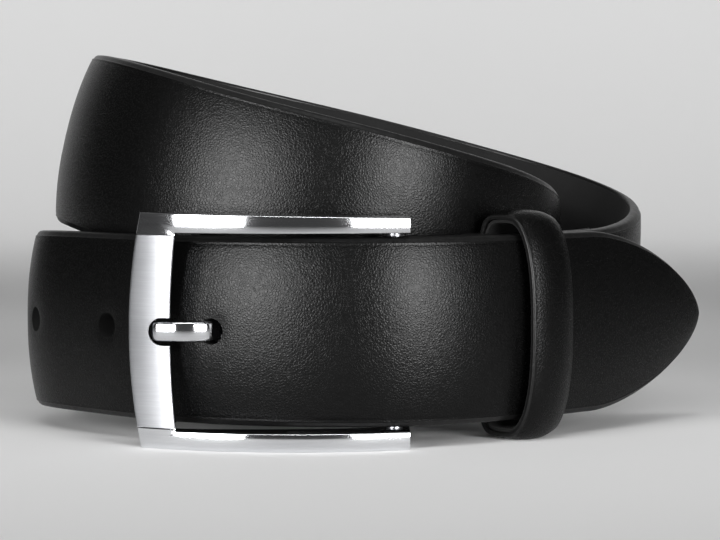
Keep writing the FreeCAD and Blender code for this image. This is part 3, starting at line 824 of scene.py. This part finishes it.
def buildProng():
    # a flat bar curled round the pin, then carried along the route to a rounded tip;
    # its section is a superellipse of the fourth power, and the tip closes as a half ellipse
    pin = np.array([fold["pinX"], fold["pinY"]])
    turn = np.radians(np.linspace(-150, 108, 44))
    curl = pin + prong["eyeRadius"] * np.stack([np.cos(turn), np.sin(turn)], axis=1)
    route = bentPath([curl[-1] + np.array([-1.2, -0.1])] + prong["route"], prong["radii"], 0.35)
    path = np.concatenate([curl, route])
    keep = np.concatenate([[True], np.linalg.norm(np.diff(path, axis=0), axis=1) > 0.05])
    path = path[keep]
    travel = np.concatenate([[0], np.cumsum(np.linalg.norm(np.diff(path, axis=0), axis=1))])
    direction = unit(np.gradient(path, travel, axis=0))
    kernel = np.ones(5) / 5
    direction[2:-2] = np.stack([np.convolve(direction[:, k], kernel, "valid") for k in (0, 1)], axis=1)
    direction = unit(direction)
    lift = np.stack([direction[:, 1], -direction[:, 0], np.zeros(len(path))], axis=1)
    side = np.tile([0.0, 0.0, 1.0], (len(path), 1))
    place = toFrame(path[:, 0], path[:, 1], np.full(len(path), buckle["notchLevel"]))
    left = travel[-1] - travel
    tip = np.sqrt(np.clip(1 - (1 - np.clip(left / prong["tipRun"], 0, 1)) ** 2, 0.002, 1))
    eye = smoothStep((travel - prong["eyeRun"]) / prong["eyeBlend"])
    around = np.linspace(0, 2 * np.pi, 32, endpoint=False)[None, :]
    wide = prong["width"] / 2 * (0.55 + 0.45 * tip)
    wide = np.where(left < 0.02, wide * 0.5, wide)
    thick = (prong["eyeThick"] + (prong["thick"] - prong["eyeThick"]) * eye) / 2 * tip
    across, height = np.cos(around), np.sin(around)
    section = np.stack([wide[:, None] * np.sign(across) * np.abs(across) ** 0.5,
                        thick[:, None] * np.sign(height) * np.abs(height) ** 0.5], axis=-1)
    return tidyShell(sectionTube("prongBar", (place, side, lift), section), smoothDegrees=60)


finishPiece(buildProng(), [polishedNickel], "prong_body", "polished_metal", "prong")


print("belt: keeper")

keeper = {
    "x": 31.1, "y": 21.75, "level": 17.6, "turn": -46.0, "wide": 11.0, "halfHigh": 21.5,
    "frontDeep": 8.35, "backDeep": 7.6, "leather": 1.35, "lining": 0.6, "gap": 0.03, "power": 2.5,
    "crown": 0.9, "crownStart": 0.45, "edge": 0.4, "liningInset": 0.5, "liningEdge": 0.2,
}


def keeperLoop(inset):
    # points and outward directions round a superellipse: |x / deep| ^ n + |z / high| ^ n = 1,
    # deeper on the front half, where the band swells over the strap's crown
    k = keeper
    turn = np.linspace(0, 2 * np.pi, 280, endpoint=False)
    sideX, sideZ = np.cos(turn), np.sin(turn)
    deep = np.where(sideX > 0, k["frontDeep"], k["backDeep"]) - inset
    power = np.where(sideX > 0, k["power"], 5.0)
    x = deep * np.sign(sideX) * np.abs(sideX) ** (2 / power)
    z = (k["halfHigh"] - inset) * np.sign(sideZ) * np.abs(sideZ) ** (2 / power)
    loop = np.stack([x, z], axis=1)
    closed = np.concatenate([loop, loop[:1]])
    travel = np.concatenate([[0], np.cumsum(np.linalg.norm(np.diff(closed, axis=0), axis=1))])
    even = np.linspace(0, travel[-1], 240, endpoint=False)
    loop = np.stack([np.interp(even, travel, closed[:, i]) for i in (0, 1)], axis=1)
    ahead = unit(np.roll(loop, -2, axis=0) - np.roll(loop, 2, axis=0))
    return loop, np.stack([ahead[:, 1], -ahead[:, 0]], axis=1)


def keeperRing(name, inset, section):
    # carries a section (place along the strap, lift) round the keeper's loop
    k = keeper
    loop, out = keeperLoop(inset)
    turn = math.radians(k["turn"])
    deepWay = np.array([math.cos(turn), math.sin(turn), 0])
    alongWay = np.array([-math.sin(turn), math.cos(turn), 0])
    upWay = np.array([0, 0, 1.0])
    centre = toFrame(np.array(k["x"]), np.array(k["y"]), np.array(k["level"]))
    place = centre + loop[:, :1] * deepWay + loop[:, 1:] * upWay
    lift = out[:, :1] * deepWay + out[:, 1:] * upWay
    side = np.tile(alongWay, (len(loop), 1))
    rows = np.broadcast_to(section, (len(loop),) + section.shape)
    return tidyShell(sectionTube(name, (place, side, lift), rows, closeAlong=True), smoothDegrees=50)


def bandSection(wide, thick, crown, edge):
    # crowned outside, round edges and flat inside; lift is measured from the outside face
    turn = np.radians(np.linspace(0, 90, 6))
    rightX, rightY = wide / 2 - edge + edge * np.cos(turn), thick - edge + edge * np.sin(turn)
    top = np.linspace(wide / 2 - edge, -wide / 2 + edge, 19)[1:-1]
    topY = thick + crown * (1 - np.abs(top / (wide / 2 - edge)) ** 2.2)
    x = np.concatenate([rightX, top, -rightX[::-1], [-wide / 2 + 0.15, wide / 2 - 0.15]])
    y = np.concatenate([rightY, topY, rightY[::-1], [0.0, 0.0]])
    return np.stack([x, y - thick], axis=1)


bandShape = bandSection(keeper["wide"], keeper["leather"] - keeper["crownStart"], keeper["crown"],
                        keeper["edge"])
columns = len(bandShape)
band = keeperRing("keeperBand", keeper["crownStart"], bandShape)
paintColumns(band, columns, {1: list(range(0, 5)) + list(range(columns - 8, columns))})
finishPiece(band, [keeperCalf, edgePaint], "keeper", "keeper_leather", "keeper_band")
liningShape = bandSection(keeper["wide"] - 2 * keeper["liningInset"], keeper["lining"], 0.0,
                          keeper["liningEdge"])
inside = keeperRing("keeperLining", keeper["leather"] + keeper["gap"], liningShape)
finishPiece(inside, [liningSplit], "keeper", "lining_leather", "keeper_lining")


print("belt: studio")

studio = {
    "eye": (-0.00085, -0.5592, 0.0590), "lookDown": 2.956, "lens": 137.5, "sensor": 36.0,
    "beltMiddle": (0, 0, 0.035), "frontTarget": (0, 0, 0.12), "floorHalf": 1.3,
    "paperColour": "#d2d2d2", "paperRough": 0.9, "worldColour": "#ffffff", "worldStrength": 0.06,
}


def aimAt(thing, place, target):
    # puts a thing at a place and turns its front towards a target
    thing.location = place
    direction = np.subtract(target, place)
    tilt = math.atan2(math.hypot(direction[0], direction[1]), -direction[2])
    heading = math.atan2(direction[1], direction[0]) - math.pi / 2
    thing.rotation_euler = (tilt, 0, heading)


def softLight(name, place, target, sizes, watts, spread):
    # a soft rectangular lamp, turned towards a target
    lamp = bpy.data.lights.new(name, "AREA")
    lamp.shape, lamp.size, lamp.size_y, lamp.energy = "RECTANGLE", sizes[0], sizes[1], watts
    lamp.spread = math.radians(spread)
    thing = bpy.data.objects.new(name, lamp)
    bpy.context.scene.collection.objects.link(thing)
    aimAt(thing, place, target)


def onSphere(azimuth, elevation, distance):
    # a place on a sphere round the belt; azimuth 0 is the front
    az, el = math.radians(azimuth), math.radians(elevation)
    flat = distance * math.cos(el)
    return (flat * math.sin(az), -flat * math.cos(az), 0.03 + distance * math.sin(el))


# place, target, sizes, watts and spread of each lamp
softLight("leftSoftbox", (-0.294, -0.405, 0.17), studio["frontTarget"], (0.25, 0.34), 0.62, 50)
softLight("rightSoftbox", (0.285, -0.41, 0.17), studio["frontTarget"], (0.27, 0.34), 0.66, 50)
softLight("topSoftbox", onSphere(0, 66, 0.95), studio["beltMiddle"], (1.2, 0.1), 1.2, 80)
softLight("overheadWash", onSphere(180, 66, 1.3), studio["beltMiddle"], (1.6, 0.5), 0.5, 180)
softLight("backdropLamp", (0, 0.55, 1.2), (0, 1.5, 0.45), (1.6, 0.3), 10.0, 120)

# the paper lies flat under the belt and sweeps up behind it in a quarter ellipse
sweep = np.radians(np.linspace(0, 90, 24))
paperY = np.concatenate([[-0.5, 0.5], 0.9 + 0.6 * np.sin(sweep), [1.5]])
paperZ = np.concatenate([[0, 0], 0.6 - 0.6 * np.cos(sweep), [2.6]])
paperX = np.array([-studio["floorHalf"], studio["floorHalf"]])
paper = np.stack(np.broadcast_arrays(paperX[None, :], paperY[:, None], paperZ[:, None]), axis=-1)
floorMesh = bpy.data.meshes.new("paleFloor")
rowStart = np.arange(len(paperY) - 1) * 2
floorMesh.from_pydata(paper.reshape(-1, 3).tolist(), [],
                      np.stack([rowStart, rowStart + 1, rowStart + 3, rowStart + 2], axis=1).tolist())
floorMesh.polygons.foreach_set("use_smooth", np.ones(len(floorMesh.polygons), dtype=bool))
floor = bpy.data.objects.new("paleFloor", floorMesh)
bpy.context.scene.collection.objects.link(floor)
# Pale seamless paper: matt, with no pattern at this distance.
floorPaint, _, floorShader, _ = newMaterial("palePaper")
setShader(floorShader, {"Base Color": linear(studio["paperColour"]), "Roughness": studio["paperRough"]})
floorMesh.materials.append(floorPaint)

world = bpy.data.worlds.new("paleStudio")
bpy.context.scene.world = world
world.use_nodes = True
background = world.node_tree.nodes["Background"]
background.inputs["Color"].default_value = linear(studio["worldColour"])
background.inputs["Strength"].default_value = studio["worldStrength"]

bpy.context.scene.view_settings.view_transform = "Standard"
lens = bpy.data.cameras.new("studioCamera")
lens.lens = studio["lens"]
lens.sensor_width = studio["sensor"]
lens.clip_start = 0.01
camera = bpy.data.objects.new("studioCamera", lens)
camera.location = studio["eye"]
camera.rotation_euler = (math.radians(90 - studio["lookDown"]), 0, 0)
bpy.context.scene.collection.objects.link(camera)
bpy.context.scene.camera = camera
